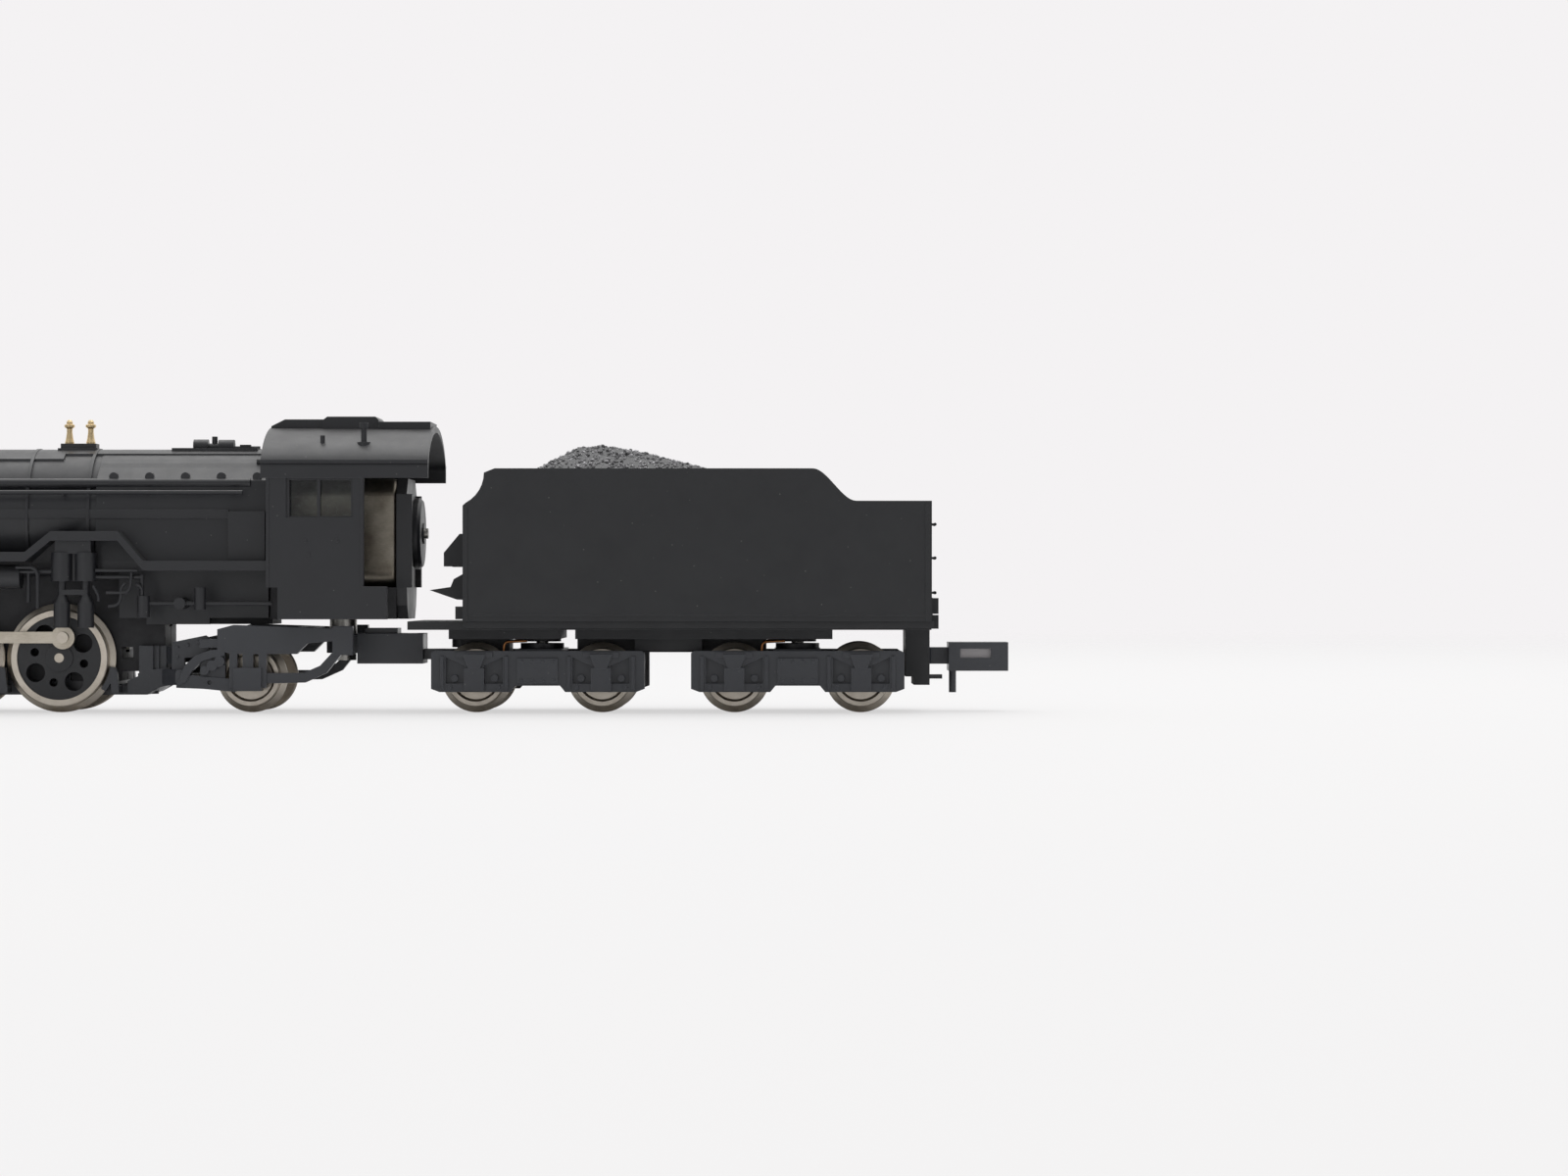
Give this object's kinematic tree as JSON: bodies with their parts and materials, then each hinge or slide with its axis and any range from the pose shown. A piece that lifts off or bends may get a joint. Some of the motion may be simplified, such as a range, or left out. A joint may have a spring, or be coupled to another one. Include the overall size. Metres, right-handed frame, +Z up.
{
  "type": "model steam locomotive",
  "caption": "Nine millimetre gauge model of a 2-8-2 tender locomotive: moulded boiler, cab and tender on a split die-cast chassis with turning wheels, rods, trucks and bogies.",
  "frame": {"origin": "centre of the model's box, on the plane of the wheel flanges", "axes": "-X towards the chimney, +X towards the tender, +Z up, -Y the driver's left side"},
  "size_m": [0.1516, 0.0208, 0.0282],
  "materials": {
    "body_plastic": "satin black moulded",
    "tender_plastic": "matte black moulded",
    "running_plastic": "dark blue-grey acetal",
    "gear_plastic": "black acetal",
    "wheel_plastic": "satin black moulded",
    "gear_resin": "natural acetal",
    "die_cast": "blackened die casting",
    "steel": "turned",
    "motor_steel": "plated can",
    "nickel": "turned nickel silver",
    "rod_metal": "nickel plated pressing",
    "brass": "turned",
    "phosphor_bronze": "rolled strip",
    "clear_plastic": "clear moulded",
    "coal": "crushed coal"
  },
  "bodies": {
    "chassis": {"chassis_left": "die_cast", "chassis_right": "die_cast", "chassis_screws": "steel", "keeper_plate": "gear_plastic", "motor_can": "motor_steel", "motor_end_cap": "gear_plastic", "motor_holder": "body_plastic", "boiler_shell": "body_plastic", "smokebox_front": "body_plastic", "headlight": "body_plastic", "safety_valves": "brass", "whistle_and_generator": "body_plastic", "running_boards": "body_plastic", "feedwater_pump": "body_plastic", "air_compressor": "body_plastic", "smoke_deflectors": "body_plastic", "front_beam": "body_plastic", "cab_shell": "body_plastic", "cab_glazing": "clear_plastic", "roof_hatch": "body_plastic", "cylinder_block": "body_plastic", "valve_gear": "rod_metal"},
    "driver_1": {"driver_1_wheelset": "nickel", "driver_1_centres": "wheel_plastic"},
    "driver_2": {"driver_2_wheelset": "nickel", "driver_2_centres": "wheel_plastic"},
    "driver_3": {"driver_3_wheelset": "nickel", "driver_3_centres": "wheel_plastic"},
    "driver_4": {"driver_4_wheelset": "nickel", "driver_4_centres": "wheel_plastic", "axle_gear": "gear_resin"},
    "coupling_rod_left": {"coupling_rod_left": "rod_metal"},
    "coupling_rod_right": {"coupling_rod_right": "rod_metal"},
    "main_rod_left": {"main_rod_left": "rod_metal"},
    "main_rod_right": {"main_rod_right": "rod_metal"},
    "crosshead_left": {"crosshead_left": "rod_metal"},
    "crosshead_right": {"crosshead_right": "rod_metal"},
    "motor_rotor": {"motor_armature": "steel", "worm": "brass", "flywheel": "body_plastic"},
    "idler": {"idler_gear": "gear_resin"},
    "leading_truck": {"leading_truck": "running_plastic"},
    "leading_wheelset": {"leading_wheelset": "nickel"},
    "trailing_truck": {"trailing_truck": "running_plastic"},
    "trailing_wheelset": {"trailing_wheelset": "nickel"},
    "drawbar": {"drawbar": "running_plastic"},
    "tender": {"tender_body": "tender_plastic", "coal_load": "coal", "tender_frame": "tender_plastic", "tender_weight": "die_cast", "pickup_strips": "phosphor_bronze", "bogie_screws": "steel"},
    "front_bogie": {"front_bogie_frame": "running_plastic"},
    "rear_bogie": {"rear_bogie_frame": "running_plastic"},
    "rear_coupler": {"rear_coupler": "running_plastic"},
    "front_coupler": {"front_coupler": "running_plastic"},
    "tender_wheelset_1": {"tender_wheelset_1": "nickel"},
    "tender_wheelset_2": {"tender_wheelset_2": "nickel"},
    "tender_wheelset_3": {"tender_wheelset_3": "nickel"},
    "tender_wheelset_4": {"tender_wheelset_4": "nickel"}
  },
  "joints": [
    {"name": "driver_4_spin", "type": "hinge", "parent": "chassis", "child": "driver_4", "pos_m": [-0.01465, 0, 0.0052], "axis": [0, 1, 0], "continuous": true},
    {"name": "driver_1_spin", "type": "hinge", "parent": "chassis", "child": "driver_1", "pos_m": [-0.04645, 0, 0.0052], "axis": [0, 1, 0], "continuous": true},
    {"name": "driver_2_spin", "type": "hinge", "parent": "chassis", "child": "driver_2", "pos_m": [-0.03585, 0, 0.0052], "axis": [0, 1, 0], "continuous": true},
    {"name": "driver_3_spin", "type": "hinge", "parent": "chassis", "child": "driver_3", "pos_m": [-0.02525, 0, 0.0052], "axis": [0, 1, 0], "continuous": true},
    {"name": "coupling_rod_left_crank", "type": "hinge", "parent": "driver_4", "child": "coupling_rod_left", "pos_m": [-0.0142, -0.0057, 0.00715], "axis": [0, 1, 0], "continuous": true},
    {"name": "crosshead_left_slide", "type": "slide", "parent": "chassis", "child": "crosshead_left", "axis": [1, 0, 0], "range_m": [-0.00252, 0.00148]},
    {"name": "main_rod_left_swing", "type": "hinge", "parent": "crosshead_left", "child": "main_rod_left", "pos_m": [-0.05073, -0.0065, 0.0052], "axis": [0, 1, 0], "range_deg": [-0.11, 8.71]},
    {"name": "coupling_rod_right_crank", "type": "hinge", "parent": "driver_4", "child": "coupling_rod_right", "pos_m": [-0.0127, 0.0057, 0.00475], "axis": [0, 1, 0], "continuous": true},
    {"name": "crosshead_right_slide", "type": "slide", "parent": "chassis", "child": "crosshead_right", "axis": [1, 0, 0], "range_m": [-0.00395, 0.00005]},
    {"name": "main_rod_right_swing", "type": "hinge", "parent": "crosshead_right", "child": "main_rod_right", "pos_m": [-0.0493, 0.0065, 0.0052], "axis": [0, 1, 0], "range_deg": [-5.4, 3.42]},
    {"name": "motor_spin", "type": "hinge", "parent": "chassis", "child": "motor_rotor", "pos_m": [0.00735, 0, 0.0171], "axis": [1, 0, 0], "continuous": true},
    {"name": "idler_spin", "type": "hinge", "parent": "chassis", "child": "idler", "pos_m": [-0.0093, 0, 0.01074], "axis": [0, 1, 0], "continuous": true},
    {"name": "leading_truck_yaw", "type": "hinge", "parent": "chassis", "child": "leading_truck", "pos_m": [-0.05385, 0, 0.0025], "axis": [0, 0, 1], "range_deg": [-4, 4]},
    {"name": "leading_wheel_spin", "type": "hinge", "parent": "leading_truck", "child": "leading_wheelset", "pos_m": [-0.06175, 0, 0.00335], "axis": [0, 1, 0], "continuous": true},
    {"name": "trailing_truck_yaw", "type": "hinge", "parent": "chassis", "child": "trailing_truck", "pos_m": [-0.00665, 0, 0.00275], "axis": [0, 0, 1], "range_deg": [-5, 5]},
    {"name": "trailing_wheel_spin", "type": "hinge", "parent": "trailing_truck", "child": "trailing_wheelset", "pos_m": [0.00355, 0, 0.00335], "axis": [0, 1, 0], "continuous": true},
    {"name": "drawbar_yaw", "type": "hinge", "parent": "chassis", "child": "drawbar", "pos_m": [0.01175, 0, 0.0065], "axis": [0, 0, 1], "range_deg": [-8, 8]},
    {"name": "tender_yaw", "type": "hinge", "parent": "drawbar", "child": "tender", "pos_m": [0.02335, 0, 0.0055], "axis": [0, 0, 1], "range_deg": [-10, 10]},
    {"name": "front_bogie_yaw", "type": "hinge", "parent": "tender", "child": "front_bogie", "pos_m": [0.03095, 0, 0.00655], "axis": [0, 0, 1], "range_deg": [-8, 8]},
    {"name": "rear_bogie_yaw", "type": "hinge", "parent": "tender", "child": "rear_bogie", "pos_m": [0.05555, 0, 0.00655], "axis": [0, 0, 1], "range_deg": [-8, 8]},
    {"name": "tender_wheel_1_spin", "type": "hinge", "parent": "front_bogie", "child": "tender_wheelset_1", "pos_m": [0.02495, 0, 0.00335], "axis": [0, 1, 0], "continuous": true},
    {"name": "tender_wheel_2_spin", "type": "hinge", "parent": "front_bogie", "child": "tender_wheelset_2", "pos_m": [0.03695, 0, 0.00335], "axis": [0, 1, 0], "continuous": true},
    {"name": "tender_wheel_3_spin", "type": "hinge", "parent": "rear_bogie", "child": "tender_wheelset_3", "pos_m": [0.04955, 0, 0.00335], "axis": [0, 1, 0], "continuous": true},
    {"name": "tender_wheel_4_spin", "type": "hinge", "parent": "rear_bogie", "child": "tender_wheelset_4", "pos_m": [0.06155, 0, 0.00335], "axis": [0, 1, 0], "continuous": true},
    {"name": "rear_coupler_swing", "type": "hinge", "parent": "tender", "child": "rear_coupler", "pos_m": [0.06745, 0, 0.0053], "axis": [0, 0, 1], "range_deg": [-15, 15]},
    {"name": "front_coupler_swing", "type": "hinge", "parent": "chassis", "child": "front_coupler", "pos_m": [-0.06745, 0, 0.0053], "axis": [0, 0, 1], "range_deg": [-15, 15]}
  ],
  "couplings": [
    {"joint": "driver_1_spin", "follows": "driver_4_spin", "ratio": 1},
    {"joint": "driver_2_spin", "follows": "driver_4_spin", "ratio": 1},
    {"joint": "driver_3_spin", "follows": "driver_4_spin", "ratio": 1},
    {"joint": "coupling_rod_left_crank", "follows": "driver_4_spin", "ratio": -1},
    {"joint": "coupling_rod_right_crank", "follows": "driver_4_spin", "ratio": -1},
    {"joint": "idler_spin", "follows": "driver_4_spin", "ratio": -0.69231},
    {"joint": "motor_spin", "follows": "driver_4_spin", "ratio": 18}
  ]
}
